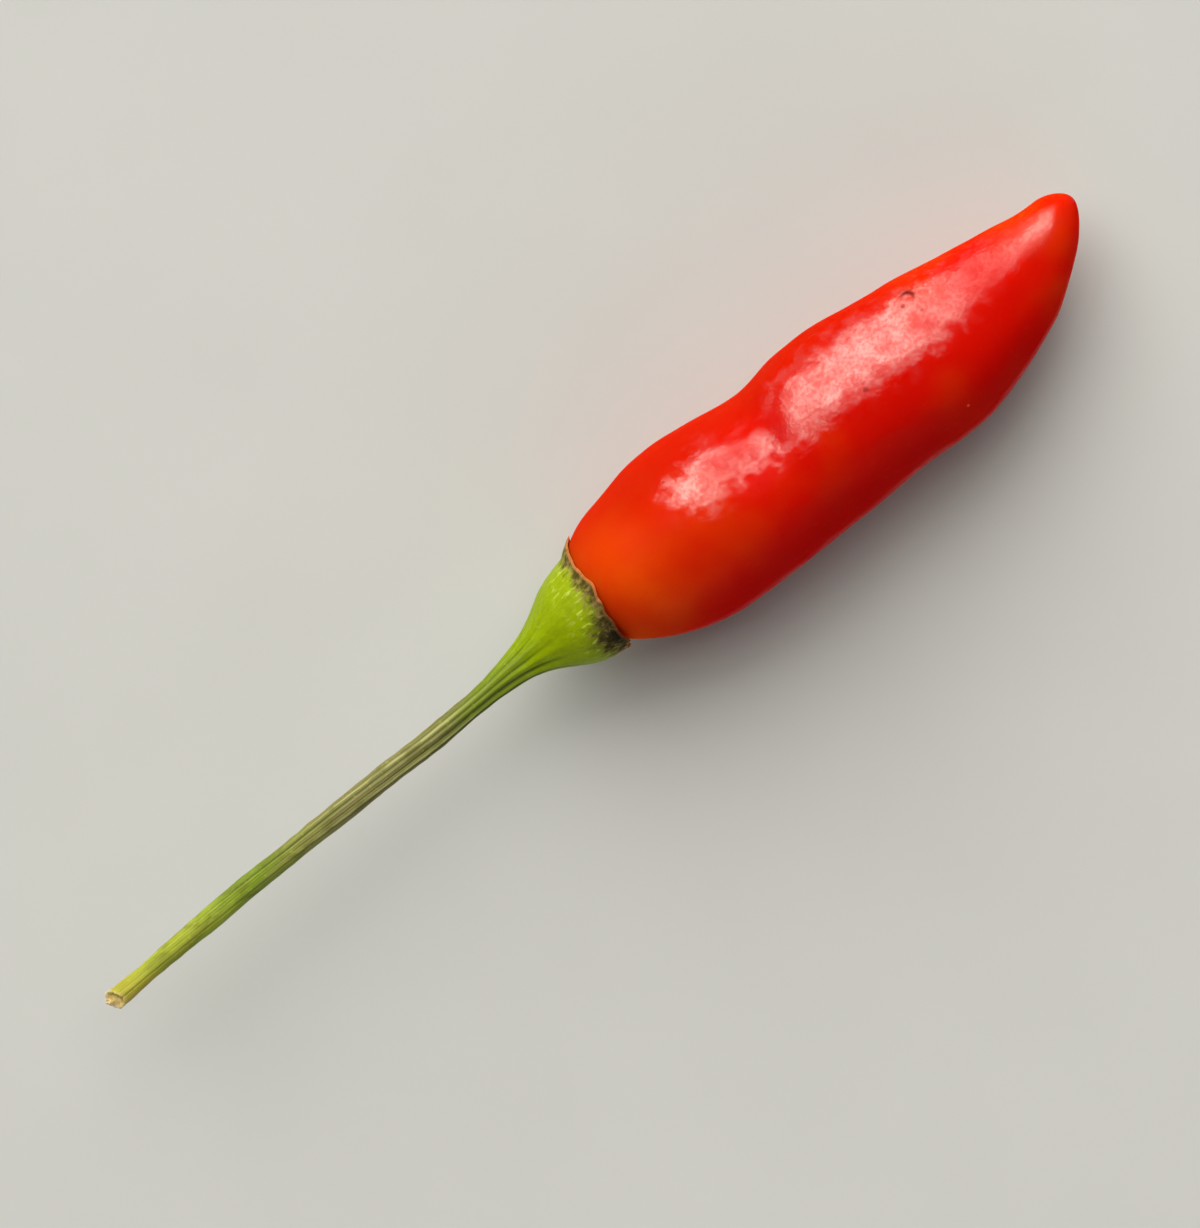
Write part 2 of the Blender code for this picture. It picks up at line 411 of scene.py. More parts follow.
# %% [markdown]
# ## The stalk's form
#
# The calyx and the pedicel are one green skin on the plant, so they share one outline, from the
# calyx rim down the funnel of its neck and along the stalk to the place where it broke off. Ten
# ridges run down it, every second one low. They grow from nothing at the rim and wind slowly
# round the stalk. Between them lie grooves. Two deeper folds run into the neck, where the stalk
# bent under the weight of the pod, and a shallow one lies half way down.

# %% The stalk's outline
NECK = -6.0
STALK_RADIUS = [
    (-39.4, 0.62),
    (-38.3, 0.66),
    (-36.5, 0.58),
    (-34.0, 0.64),
    (-30.0, 0.70),
    (-25.5, 0.66),
    (-20.4, 0.73),
    (-13.6, 0.73),
    (-8.5, 0.82),
    (-6.8, 1.03),
    (NECK, 1.20),
    (-5.1, 1.50),
    (-4.25, 1.92),
    (-3.4, 2.42),
    (-2.55, 2.88),
    (-1.7, 3.16),
    (-0.85, 3.32),
    (0.0, 3.40),
    (1.5, 3.45),
]
FLAT_FROM = -2.0


def height_share(along):
    """How high a ring is for its width: as much as the pod near the rim, and as high as it is
    wide from the neck on."""
    return np.interp(along, [NECK, FLAT_FROM], [1.0, POD_HEIGHT_SHARE])


print(f"stalk radius {smooth(STALK_RADIUS, NECK):.2f} mm at the neck")

# %% Ridges, fibres and folds
TEETH = 5
RIDGE_SHARE, RIDGE_MIDDLE, RIDGE_UNEVENNESS, RIDGE_TWIST = 0.10, 0.65, 0.3, np.radians(55)
RIDGE_FADE_PLACES, RIDGE_FADE = (-26.0, -14.0), (0.45, 1.0)
RELIEF_GROWTH = 2.5
GROOVE_MIDDLE = 0.35

# how many round the stalk, height as a share of the radius, start in radians
FIBRES = [(17, 0.008, 0.4), (23, 0.007, 2.1), (31, 0.005, 4.4)]

# along, angle in degrees, half length, half spread in degrees, depth as a share of the radius
FOLDS = [(-8.0, 162, 3.2, 8, 0.16), (-9.5, 126, 3.6, 7, 0.10), (-24.0, 90, 4.0, 8, 0.07)]


def round_waves(rows, angle):
    """The sum of each row's height, times the cosine of its count times the angle plus its
    start."""
    return sum(height * np.cos(count * angle + start) for count, height, start in rows)


def ridges(angle):
    """The size of the cosine of five times the angle, times 1 plus a share of that cosine:
    rounded ridges with narrow grooves, in pairs of a high and a low one."""
    wave = np.cos(TEETH * angle)
    return np.abs(wave) * (1 + RIDGE_UNEVENNESS * wave)


def stalk_angle(along, angle):
    """The angle, turned on by the twist times how far past the neck the place is."""
    return angle + RIDGE_TWIST * np.clip((along - NECK) / (stalk_end - NECK), 0, 1)


def stalk_relief(along, angle):
    """The ridges less their middle height, which are flatter down the stalk, plus the fibres,
    less the folds. All of it grows from the rim, where it is nothing, to the neck."""
    turned = stalk_angle(along, angle)
    height = RIDGE_SHARE * np.interp(along, RIDGE_FADE_PLACES, RIDGE_FADE)
    relief = height * (ridges(turned) - RIDGE_MIDDLE) + round_waves(FIBRES, turned)
    relief = relief - pressed(FOLDS, along, turned)
    return relief * np.clip(along / NECK, 0, 1) ** RELIEF_GROWTH


def stalk_skin(along, angle):
    """The outline's radius times 1 plus the relief."""
    return smooth(STALK_RADIUS, along) * (1 + stalk_relief(along, angle))


groove_to_ridge = stalk_skin(-15.0, np.linspace(0, 2 * np.pi, 200))
print(f"radius half way down the stalk {groove_to_ridge.min():.2f} to {groove_to_ridge.max():.2f} mm")


def stalk_marks(along, angle):
    """What the stalk's finish reads: how deep in a groove each point is, from 0 on a ridge to 1,
    and its place on a straight stalk that doesn't twist, in millimetres."""
    turned = stalk_angle(along, angle)
    groove = GROOVE_MIDDLE - stalk_relief(along, angle) / (RIDGE_SHARE * (1 + RIDGE_UNEVENNESS))
    radius = smooth(STALK_RADIUS, along)
    straight = np.broadcast_arrays(along, radius * np.cos(turned), radius * np.sin(turned))
    return {"groove": np.clip(groove, 0, 1), "straight": np.stack(straight, -1)}


# %% [markdown]
# ## The rim of the calyx
#
# The rim has five short teeth. It dries and shrinks as the pod ripens, so its edge is frayed, it
# reaches further along the pod on one side, and in one place it has lifted off as a small flap.

# %% Shape the rim
RIM_START, RIM_TILT, TOOTH = 0.02, 0.50, 0.34
FLAP_ANGLE, FLAP_SPREAD, FLAP_LIFT, FLAP_REACH = np.radians(130), np.radians(22), 0.32, 0.9

# how many round the rim, height as a share of a tooth, start in radians
RIM_WAVES = [(3, 0.25, 1.0), (11, 0.16, 2.0), (19, 0.10, 0.7)]


def rim_place(angle):
    """How far along the pod the rim reaches: a tilt towards +Y, plus the height of a tooth times
    the squared cosine of five times the angle where it is positive, and times the rim's waves."""
    teeth = np.clip(np.cos(TEETH * angle), 0, 1) ** 2
    return RIM_START + RIM_TILT * np.cos(angle) + TOOTH * (teeth + round_waves(RIM_WAVES, angle))


def flap(angle):
    """A bell curve round the angle of the lifted flap."""
    return bell(angle - FLAP_ANGLE, FLAP_SPREAD)


rim_reach = rim_place(np.linspace(0, 2 * np.pi, 200))
print(f"rim reaches from {rim_reach.min():.2f} to {rim_reach.max():.2f} mm along the pod")


# %% [markdown]
# ## The calyx
#
# The calyx is a leathery cup. It could be an open funnel with thickness from a Solidify modifier,
# but its wall is thick at the neck and thin at the rim, and it has to lie on the pod's shoulder.
# So one profile goes round the whole wall: from a socket for the stalk, out along the funnel,
# over the edge of the rim, and back down the inside a hair's breadth from the pod. Near the rim
# the drying skin has crumpled, which a sum of short ripples gives.

# %% The wall of the calyx
WALL, RIM_WALL, WALL_REACH, LOOSE_REACH, HUG = 0.34, 0.16, 1.6, 0.7, 1.010

# wavelength, height, seed
CRUMPLES = [(1.5, 0.030, 11), (0.62, 0.022, 12)]
CRUMPLE_REACH = 1.5


def greater(first, second, softness=0.02):
    """The larger of two values, with a soft turn where they cross: their mean plus half the root
    of their squared difference plus the softness."""
    return (first + second + np.sqrt((first - second) ** 2 + softness)) / 2


def calyx_wall(along, angle, rim):
    """The outer and the inner radius of the calyx. Outside, it is the greater of the stalk's
    skin and the pod plus the wall, to which the flap's lift and the crumples are added towards
    the rim. Inside, it is the pod, and where the outside stands off the pod near the rim it
    follows the outside."""
    back = rim - along
    pod_side = pod_skin(along, angle) * HUG
    wall = np.interp(back, [0, WALL_REACH], [RIM_WALL, WALL])
    near_rim = np.exp(-np.clip(back, 0, None) / CRUMPLE_REACH)
    lift = FLAP_LIFT * flap(angle) * np.exp(-np.clip(back, 0, None) / FLAP_REACH)
    outside = greater(pod_side + wall, stalk_skin(along, angle)) + lift
    under = threaded(along, outside, angle)
    for wavelength, height, seed in CRUMPLES:
        outside = outside + height * near_rim * ripples(under, wavelength, seed)
    loose = np.clip(outside - wall - pod_side, 0, None)
    return outside, pod_side + loose * np.exp(-((back / LOOSE_REACH) ** 2))


outer, inner = calyx_wall(RIM_START, np.pi / 2, RIM_START)
print(f"calyx wall {outer - inner:.2f} mm thick on top, at the rim")

# %% Model the calyx
STALK_SIDES = 240
OUT_RINGS, EDGE_RINGS, IN_RINGS = 130, 7, 40
FLAP_MARK_REACH = 1.6
SHARP_ANGLE = np.radians(60)
SOCKET_DEPTH, SOCKET_GAP = 0.5, 0.02

# share of the socket's radius, share of its depth
SOCKET_PROFILE = [(0.35, 1.0), (0.7, 1.0), (0.97, 1.0), (1.0, 0.94), (1.0, 0.0)]


def joined(*stretches):
    """One profile from its stretches, each spread out to a value for every side."""
    return np.concatenate([np.broadcast_to(part, (len(part), STALK_SIDES)) for part in stretches])


angle = ring_angles(STALK_SIDES)
rim = rim_place(angle)
socket_share, depth_share = np.array(SOCKET_PROFILE).T[:, :, None]
socket_radius = (stalk_skin(NECK, angle) - SOCKET_GAP) * socket_share
socket_along = NECK + SOCKET_DEPTH * depth_share

out_along = NECK + (rim - NECK) * np.linspace(0, 1, OUT_RINGS)[:, None]
out_radius, inner_radius = calyx_wall(out_along, angle, rim)

over = np.linspace(0, np.pi, EDGE_RINGS + 2)[1:-1, None]
over_along = rim + RIM_WALL / 2 * np.sin(over)
over_share = (1 - np.cos(over)) / 2
over_radius = out_radius[-1] + (inner_radius[-1] - out_radius[-1]) * over_share
over_radius = over_radius + RIM_WALL / 2 * np.sin(over)

in_along = POD_BUTT + (rim - POD_BUTT) * np.linspace(1, 0, IN_RINGS + 1)[:-1, None] ** 2
in_radius = calyx_wall(in_along, angle, rim)[1]
in_along = SHOULDER_END + (in_along - SHOULDER_END) * HUG

calyx_along = joined(socket_along, out_along, over_along, in_along)
calyx_radius = joined(socket_radius, out_radius, over_radius, in_radius)
outside_rings = len(socket_along) + len(out_along)
edge_distance = np.where(np.arange(len(calyx_along))[:, None] < outside_rings, rim - calyx_along, 0)
calyx = closed_skin(
    "green_calyx",
    threaded(calyx_along, calyx_radius, angle, height_share(calyx_along)),
    threaded(NECK + SOCKET_DEPTH, 0, 0),
    threaded(SHOULDER_END + (POD_BUTT - SHOULDER_END) * HUG, 0, 0),
    edge=np.clip(edge_distance, 0, None),
    flap=flap(angle) * np.exp(-((edge_distance / FLAP_MARK_REACH) ** 2)),
    **stalk_marks(calyx_along, angle),
)
calyx.data.set_sharp_from_angle(angle=SHARP_ANGLE)
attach(calyx, "root")
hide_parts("calyx")
print(f"calyx rim radius {out_radius[-1].min():.2f} to {out_radius[-1].max():.2f} mm")

# %% [markdown]
# ## The pedicel
#
# The pedicel is a ribbed stalk, a little knobbly, that snapped off the plant at a slant. A plain
# tube with a flat end would look cut by a knife. Here each side of the stalk starts at its own
# place on a ragged slant and flares to a lip there, and runs from the lip up to the calyx.

# %% Model the pedicel
STALK_RINGS = 380
END_INSET, SCAR_SLANT, SCAR_TURN = 0.04, 0.52, np.radians(-80)
SPLINTERS, SPLINTER_HEIGHT = 29, 0.02

# how many round the end, height, start in radians
END_WAVES = [(3, 0.05, 0.5), (7, 0.02, 0.0), (13, 0.02, 1.0)]

# wavelength, height, seed
KNOBS = [(3.4, 0.020, 21), (1.1, 0.007, 22)]
KNOB_FADE = 2.0
LIP_HEIGHT, LIP_REACH, LIP_WAVE = 0.10, 0.25, 0.4


def broken_end(angle):
    """Where the stalk ends at each angle: a slant of one cosine, longest at the scar's turn, plus
    the end's waves and the size of a cosine of many turns, whose sharp dips are splinters."""
    slant = SCAR_SLANT * (1 - np.cos(angle - SCAR_TURN))
    splinters = SPLINTER_HEIGHT * np.abs(np.cos(SPLINTERS * angle / 2))
    return stalk_end + END_INSET + slant + round_waves(END_WAVES, angle) + splinters


# The skin stops a hair short of the neck, where the plug's narrower radius takes over.
PLUG_STEP = 0.005
end = broken_end(angle)
stalk_along = end + (NECK - PLUG_STEP - end) * np.linspace(0, 1, STALK_RINGS)[:, None]
stalk_radius = stalk_skin(stalk_along, angle)
under = threaded(stalk_along, stalk_radius, angle)
knob_fade = np.clip((NECK - stalk_along) / KNOB_FADE, 0, 1)
for wavelength, height, seed in KNOBS:
    stalk_radius = stalk_radius + height * knob_fade * ripples(under, wavelength, seed)
flare = LIP_HEIGHT * np.exp(-(stalk_along - end) / LIP_REACH)
stalk_radius = stalk_radius + flare * (1 - LIP_WAVE + LIP_WAVE * np.cos(TEETH * angle + 1))
lip_radius = stalk_radius[0]
print(f"stalk ends at {end.min():.2f} to {end.max():.2f} mm, lip radius {lip_radius.max():.2f} mm")

# %% [markdown]
# ## The scar and the plug
#
# The scar's profile runs from its middle to the lip. An S curve of the share of the radius makes
# the step between the hollow and the pale ring round it, and the sine of a high power of that
# share raises the ring. The pith is uneven, most of all in the middle. At the other end a plug
# goes into the calyx's socket, where it can't be seen.

# %% Close the pedicel
SCAR_SHARES = [0.15, 0.3, 0.42, 0.52, 0.60, 0.67, 0.74, 0.81, 0.88, 0.94, 0.98]
SCAR_DEPTH, STEP_SHARE, STEP_SOFTNESS = 0.16, 0.66, 0.05
RING_HEIGHT, RING_POWER = 0.05, 4
PITH_WAVELENGTH, PITH_HEIGHT, PITH_SEED = 0.45, 0.03, 23

PLUG_DEPTH = 0.45

# share of the plug's radius, share of its depth
PLUG_PROFILE = [(1.0, 0.0), (1.0, 1.0), (0.6, 1.0), (0.3, 1.0)]

scar_share = np.array(SCAR_SHARES)[:, None]
scar_radius = lip_radius * scar_share
scar_along = end + SCAR_DEPTH / (1 + np.exp((scar_share - STEP_SHARE) / STEP_SOFTNESS))
scar_along = scar_along - RING_HEIGHT * np.sin(np.pi * scar_share**RING_POWER)
scar_points = threaded(scar_along, scar_radius, angle)
pith = PITH_HEIGHT * ripples(scar_points, PITH_WAVELENGTH, PITH_SEED)
scar_along = scar_along + pith * (1 - scar_share)

plug_share, depth_share = np.array(PLUG_PROFILE).T[:, :, None]
plug_radius = (stalk_skin(NECK, angle) - 2 * SOCKET_GAP) * plug_share
plug_along = NECK + PLUG_DEPTH * depth_share

pedicel_along = joined(scar_along, stalk_along, plug_along)
pedicel_radius = joined(scar_radius, stalk_radius, plug_radius)
inside_scar = np.arange(len(pedicel_along))[:, None] < len(scar_share)
pedicel = closed_skin(
    "ribbed_pedicel",
    threaded(pedicel_along, pedicel_radius, angle),
    threaded(stalk_end + END_INSET + SCAR_SLANT + SCAR_DEPTH, 0, 0),
    threaded(NECK + PLUG_DEPTH, 0, 0),
    scar=np.where(inside_scar, pedicel_radius - lip_radius, pedicel_along - end),
    **stalk_marks(pedicel_along, angle),
)
pedicel.data.set_sharp_from_angle(angle=SHARP_ANGLE)
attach(pedicel, "root")
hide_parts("pedicel")

# %% [markdown]
# ## A workbench for finishes
#
# A finish is a small tree of nodes. Blender's interface is good for trying one out, but in code
# each node takes several lines. This helper makes a node a line, so that a finish below reads
# like a recipe. Patterns read Object coordinates turned into millimetres, or the marks that the
# surfaces carry.

# %% A helper for materials
def colour(red, green, blue):
    """A screen colour from 0 to 255 as linear light: each share of 255, plus 0.055, over 1.055,
    to the power of 2.4."""
    return tuple(((value / 255 + 0.055) / 1.055) ** 2.4 for value in (red, green, blue))


class Finish:
    """A material in the making. Most of its methods add one node and give back its output."""

    def __init__(self, piece, name):
        self.made = bpy.data.materials.new(name)
        self.made.use_nodes = True
        self.tree = self.made.node_tree
        self.shader = self.tree.nodes["Principled BSDF"]
        piece.data.materials.append(self.made)
        metres = self.add("TexCoord", "Object", {})
        self.mm = self.add("Mapping", 0, {"Vector": metres, "Scale": (1 / MM,) * 3})

    def feed(self, socket, value):
        """Links a socket to another node's output, or sets it to a plain value."""
        if isinstance(value, bpy.types.NodeSocket):
            self.tree.links.new(value, socket)
        elif isinstance(value, tuple) and len(value) == 3 and socket.type == "RGBA":
            socket.default_value = (*value, 1)
        else:
            socket.default_value = value

    def add(self, kind, output, inputs, **settings):
        """A node of one kind, with its inputs fed and its settings made."""
        node = self.tree.nodes.new("ShaderNode" + kind)
        for setting, value in settings.items():
            setattr(node, setting, value)
        for name, value in inputs.items():
            self.feed(node.inputs[name], value)
        return node.outputs[output]

    def surface(self, **inputs):
        """Feeds the shader's own sockets, which are named with _ for each space."""
        for name, value in inputs.items():
            self.feed(self.shader.inputs[name.replace("_", " ")], value)

    def mark(self, name, output="Fac"):
        """A mark that the mesh carries."""
        return self.add("Attribute", output, {}, attribute_name=name)

    def stretched(self, at, scale, place=(0, 0, 0)):
        """Each coordinate times its own scale, so that a pattern on it runs lengthwise."""
        return self.add("Mapping", 0, {"Vector": at, "Scale": scale, "Location": place})

    def noise(self, at, scale, detail=2.0, roughness=0.5):
        """Cloudy noise round 0.5. Each octave of the detail is half as large as the last, and
        as strong as the roughness says."""
        inputs = {"Vector": at, "Scale": scale, "Detail": detail, "Roughness": roughness}
        return self.add("TexNoise", 0, inputs)

    def math(self, operation, first, second=0.5, clamp=False):
        """One sum, product or other operation on two numbers."""
        inputs = {0: first, 1: second}
        return self.add("Math", 0, inputs, operation=operation, use_clamp=clamp)

    def fade(self, value, start, end, low=0.0, high=1.0):
        """From low to high by 3 t squared less 2 t cubed, for the share t of the way that the
        value has come from start to end. The start may be the larger of the two."""
        inputs = {"Value": value, "From Min": start, "From Max": end, "To Min": low, "To Max": high}
        return self.add("MapRange", 0, inputs, interpolation_type="SMOOTHSTEP")

    def mix(self, share, first, second):
        """The first colour, with the share of it that is given replaced by the second."""
        inputs = {0: share, 6: first, 7: second}
        return self.add("Mix", 2, inputs, data_type="RGBA", clamp_factor=True)

    def near(self, at, centre, reach, softness=1.0):
        """1 round the centre, falling to 0 at the reach. The fall takes up the softness's share
        of the reach."""
        away = self.add("VectorMath", "Value", {0: at, 1: centre}, operation="DISTANCE")
        return self.fade(away, reach * (1 - softness), reach, 1.0, 0.0)

    def ramp(self, value, stops):
        """Colours from (place, colour) pairs."""
        made = self.add("ValToRGB", 0, {"Fac": value})
        elements = made.node.color_ramp.elements
        while len(elements) < len(stops):
            elements.new(1.0)
        for element, (place, tint) in zip(elements, stops):
            element.position = place
            element.color = (*tint, 1)
        return made

    def bump(self, height, distance, normal=None):
        """The normal tilted as by a relief of the height times the distance, in metres."""
        inputs = {"Height": height, "Distance": distance, "Strength": 1.0}
        if normal is not None:
            inputs["Normal"] = normal
        return self.add("Bump", 0, inputs)

    def report(self):
        """Prints how many nodes the material has so far."""
        print(f"{self.made.name}: {len(self.tree.nodes)} nodes")


print(f"a screen grey of 128 is {colour(128, 128, 128)[0]:.3f} as linear light")

# %% [markdown]
# ## The ripe flesh
#
# A ripe pod is bright red, with orange at its shoulder, which ripened last. Its flanks get deeper
# reds as painted shade. One colour from an image would do, but then the orange couldn't follow the
# form. Here noise and plain distances mix five colours. A healed nick and a few specks go on top,
# because a fruit without a flaw looks like wax. The colour is in the flesh and not on the surface:
# light goes in and comes out again next to where it went in, and subsurface scattering does this.

# %% Colour the pod
skin = Finish(pod, "ripe_skin")
RED, ORANGE, PALE_RED = colour(204, 14, 1), colour(218, 74, 5), colour(214, 36, 14)
PAINTED_SHADE_CRIMSON, PAINTED_SHADE_SCARLET = colour(182, 3, 4), colour(178, 24, 0)
SHOULDER_PLACE, SHOULDER_REACH = (rim_x + 2.0, 1.2, 8.6), 8.5

blotches = skin.noise(skin.mm, 0.16, 2.0)
shoulder = skin.near(skin.mm, SHOULDER_PLACE, SHOULDER_REACH)
orange_share = skin.math("MULTIPLY", shoulder, skin.fade(blotches, 0.25, 0.65, 0.52, 0.95))
orange_share = skin.math("ADD", orange_share, skin.fade(blotches, 0.40, 0.70, 0.0, 0.35))
flesh = skin.mix(orange_share, RED, ORANGE)
across = skin.add("SeparateXYZ", "Y", {0: skin.mm})
# Painted shade: the flank towards -Y is darkened to crimson, and the one towards +Y to scarlet.
flesh = skin.mix(skin.fade(across, -1.8, -5.2, 0.0, 0.85), flesh, PAINTED_SHADE_CRIMSON)
flesh = skin.mix(skin.fade(across, 2.0, 5.5, 0.0, 0.9), flesh, PAINTED_SHADE_SCARLET)
mottle = skin.noise(skin.mm, 2.4, 3.0)
flesh = skin.mix(skin.fade(mottle, 0.55, 0.75, 0.0, 0.22), flesh, PALE_RED)
skin.report()

# %% Nick and fleck the pod
NICK_BROWN, PALE_DOT = colour(118, 20, 14), colour(216, 100, 66)
NICK_REACH, NICK_SOFTNESS = 0.62, 0.55
HEALED_BACK, HEALED_TURN, HEALED_REACH = 0.17, 2.4, 0.54
DOT_ALONG, DOT_ANGLE, DOT_REACH, SPECK_SOFTNESS = 25.2, 135, 0.13, 0.7

# along, angle in degrees, reach, darkness
SPECKS = [(26.0, 44, 0.24, 0.6), (21.1, 83, 0.28, 0.5), (26.8, 55, 0.2, 0.4), (7.9, 50, 0.12, 0.5)]

# The nick is a crescent: a round spot less a smaller one beside it, where the skin has healed.
nick = skin.near(skin.mm, on_pod(NICK_ALONG, NICK_ANGLE), NICK_REACH, NICK_SOFTNESS)
healed_place = on_pod(NICK_ALONG - HEALED_BACK, NICK_ANGLE + HEALED_TURN)
healed = skin.near(skin.mm, healed_place, HEALED_REACH, NICK_SOFTNESS)
flaws = skin.math("SUBTRACT", nick, healed, clamp=True)

for place, turn, reach, darkness in SPECKS:
    speck = skin.near(skin.mm, on_pod(place, turn), reach, SPECK_SOFTNESS)
    flaws = skin.math("MAXIMUM", flaws, skin.math("MULTIPLY", speck, darkness))
flesh = skin.mix(flaws, flesh, NICK_BROWN)
dot = skin.near(skin.mm, on_pod(DOT_ALONG, DOT_ANGLE), DOT_REACH, SPECK_SOFTNESS)
flesh = skin.mix(dot, flesh, PALE_DOT)
skin.surface(
    Base_Color=flesh,
    Specular_IOR_Level=0.0,
    Subsurface_Weight=0.85,
    Subsurface_Radius=(1.0, 0.10, 0.04),
    Subsurface_Scale=0.004,
)
skin.report()

# %% [markdown]
# ## The gloss and the bloom
#
# Over the flesh lies a clear skin, for which the shader has a coat. A plain gloss would look like
# plastic. Here the coat's weight falls under the bloom and on a few dull patches. Mottles, dimples
# a millimetre wide and a finer grain break it up, and the last two are a faint relief as well, so
# that a window's reflection looks like satin. A coat with a high index of refraction and a low
# weight shines nearly alike from every side. The usual index would turn the far flanks pale,
# because it reflects most at a glancing angle.

# %% Polish the pod
GRAIN_HEIGHT, DIMPLE_HEIGHT = 1.7e-5, 3.0e-5
grain = skin.noise(skin.mm, 4.2, 4.0, 0.6)
dimples = skin.noise(skin.mm, 1.0, 2.0)
mottles = skin.noise(skin.mm, 0.42, 5.0, 0.65)
relief = skin.bump(grain, GRAIN_HEIGHT)
relief = skin.bump(dimples, DIMPLE_HEIGHT, relief)

ragged = skin.fade(skin.noise(skin.mm, 1.2, 3.0), 0.3, 0.7, -8.0, 8.0)
off_strip = skin.math("ADD", skin.mark("off_strip"), ragged)
gloss = skin.fade(off_strip, -14.0, 10.0, 1.0, 0.03)
gloss = skin.math("MAXIMUM", gloss, skin.fade(skin.mark("lean"), 89.0, 109.0, 0.0, 0.55))

# pattern, values where the gloss starts and stops rising, share of the gloss at the start
BREAKS = [(mottles, 0.36, 0.60, 0.70), (grain, 0.38, 0.60, 0.60), (dimples, 0.36, 0.62, 0.72)]
for pattern, low, high, least in BREAKS:
    gloss = skin.math("MULTIPLY", gloss, skin.fade(pattern, low, high, least, 1.05))

# along, angle in degrees, reach, share of the gloss that is lost
DULL_PATCHES = [
    (10.9, 86, 1.5, 0.9),
    (10.7, 62, 1.4, 0.45),
    (12.4, 62, 2.6, 0.75),
    (14.8, 52, 2.2, 0.7),
    (26.3, 68, 1.8, 0.6),
    (31.0, 88, 6.0, 0.85),
    (32.0, 60, 7.0, 0.35),
    (37.6, 60, 2.6, 1.0),
]
for place, turn, reach, loss in DULL_PATCHES:
    dull = skin.math("MULTIPLY", skin.near(skin.mm, on_pod(place, turn), reach), loss)
    gloss = skin.math("MULTIPLY", gloss, skin.math("SUBTRACT", 1.0, dull, clamp=True))
gloss = skin.math("MULTIPLY", gloss, skin.math("SUBTRACT", 1.0, flaws, clamp=True), clamp=True)
skin.surface(
    Normal=relief,
    Roughness=skin.fade(grain, 0.38, 0.62, 0.48, 0.34),
    Coat_Weight=gloss,
    Coat_Roughness=0.14,
    Coat_IOR=2.0,
    Coat_Normal=relief,
)
skin.report()

# %% [markdown]
# ## The green skin
#
# The calyx is a fresh yellow-green. Down the stalk the green fades to olive and a dull tan with
# brown blotches where the stalk rubbed and dried, turns fresh again, and ends in yellow at the
# break. The grooves are darker, and the ridges paler, partly from wear and partly as painted
# highlight. A colour ramp along the stalk gives the main change, and the marks on the mesh give the
# rest. Both pieces get this from one function, so the joint between them doesn't show.

# %% The green of calyx and stalk
STALK_GREENS = [
    (-39.4, (214, 194, 120)),
    (-38.4, (188, 172, 72)),
    (-36.6, (176, 168, 56)),
    (-34.5, (160, 170, 52)),
    (-31.0, (150, 168, 50)),
    (-27.5, (116, 140, 28)),
    (-24.5, (134, 138, 64)),
    (-20.5, (130, 124, 80)),
    (-15.0, (126, 120, 76)),
    (-10.5, (112, 116, 54)),
    (-8.0, (110, 130, 14)),
    (-5.0, (142, 165, 1)),
    (0.0, (144, 164, 1)),
]
GROOVE_DARK_GREEN, WORN_AND_HIGHLIT_RIDGE, RUBBED_BROWN = colour(70, 84, 18), colour(206, 208, 140), colour(84, 80, 26)
FIBRE_GREEN, PALE_SPECKLE = colour(104, 124, 18), colour(200, 218, 70)


def green_skin(finish):
    """The green skin's colour, the fibres in it, and the place on a straight stalk that both are
    laid out on."""
    straight = finish.mark("straight", "Vector")
    along = finish.add("SeparateXYZ", "X", {0: straight})
    wander = finish.noise(finish.stretched(straight, (0.25, 0.8, 0.8)), 1.0, 2.0)
    along = finish.math("ADD", along, finish.fade(wander, 0.25, 0.75, -1.6, 1.6))
    first, last = STALK_GREENS[0][0], STALK_GREENS[-1][0]
    stops = [((place - first) / (last - first), colour(*tint)) for place, tint in STALK_GREENS]
    share = finish.math("DIVIDE", finish.math("SUBTRACT", along, first), last - first)
    greens = finish.ramp(share, stops)
    groove = finish.mark("groove")
    # Darker in the grooves.
    greens = finish.mix(finish.fade(groove, 0.45, 1.0, 0.0, 0.78), greens, GROOVE_DARK_GREEN)
    # Paler ridges: partly wear, partly painted highlight.
    worn_and_highlit = finish.fade(groove, 0.20, 0.0, 0.0, 0.48)
    worn_and_highlit = finish.math("MULTIPLY", worn_and_highlit, finish.fade(along, -7.0, -11.0, 0.1, 1.0))
    worn_and_highlit = finish.math("MULTIPLY", worn_and_highlit, finish.fade(along, -26.0, -22.0, 0.6, 1.0))
    greens = finish.mix(worn_and_highlit, greens, WORN_AND_HIGHLIT_RIDGE)
    blotches = finish.noise(finish.stretched(straight, (0.45, 1.1, 1.1), (4, 0, 0)), 1.0, 3.0, 0.55)
    blotches = finish.fade(blotches, 0.50, 0.66, 0.0, 0.48)
    blotches = finish.math("MULTIPLY", blotches, finish.fade(along, -8.0, -12.0))
    blotches = finish.math("MULTIPLY", blotches, finish.fade(along, -36.0, -33.0))
    greens = finish.mix(blotches, greens, RUBBED_BROWN)
    fibres = finish.noise(finish.stretched(straight, (0.35, 5.0, 5.0)), 1.0, 3.0, 0.6)
    greens = finish.mix(finish.fade(fibres, 0.40, 0.60, 0.20, 0.0), greens, FIBRE_GREEN)
    speckle = finish.noise(finish.mm, 3.5, 2.0)
    greens = finish.mix(finish.fade(speckle, 0.60, 0.75, 0.0, 0.18), greens, PALE_SPECKLE)
    return greens, fibres, straight


# %% [markdown]
# ## The dry rim
#
# The edge of the calyx has died back to a narrow band. It is tan and fibrous, and nearly black
# round the flap: dried tissue, darkened further with painted shade under the lifted flap. The very
# edge, thin as paper, gets a painted orange glow, as if the pod's light shone through it. The
# distance from the edge, a mark on the mesh, places all of this, and noise stretched along the
# fibres frays it. A border drawn at one distance would look like paint.

# %% Colour the calyx
leather = Finish(calyx, "drying_calyx")
greens, fibres, straight = green_skin(leather)
SHADED_GREEN, PAINTED_GLINT_GREEN = colour(84, 92, 6), colour(190, 204, 84)
edge, near_flap = leather.mark("edge"), leather.mark("flap")

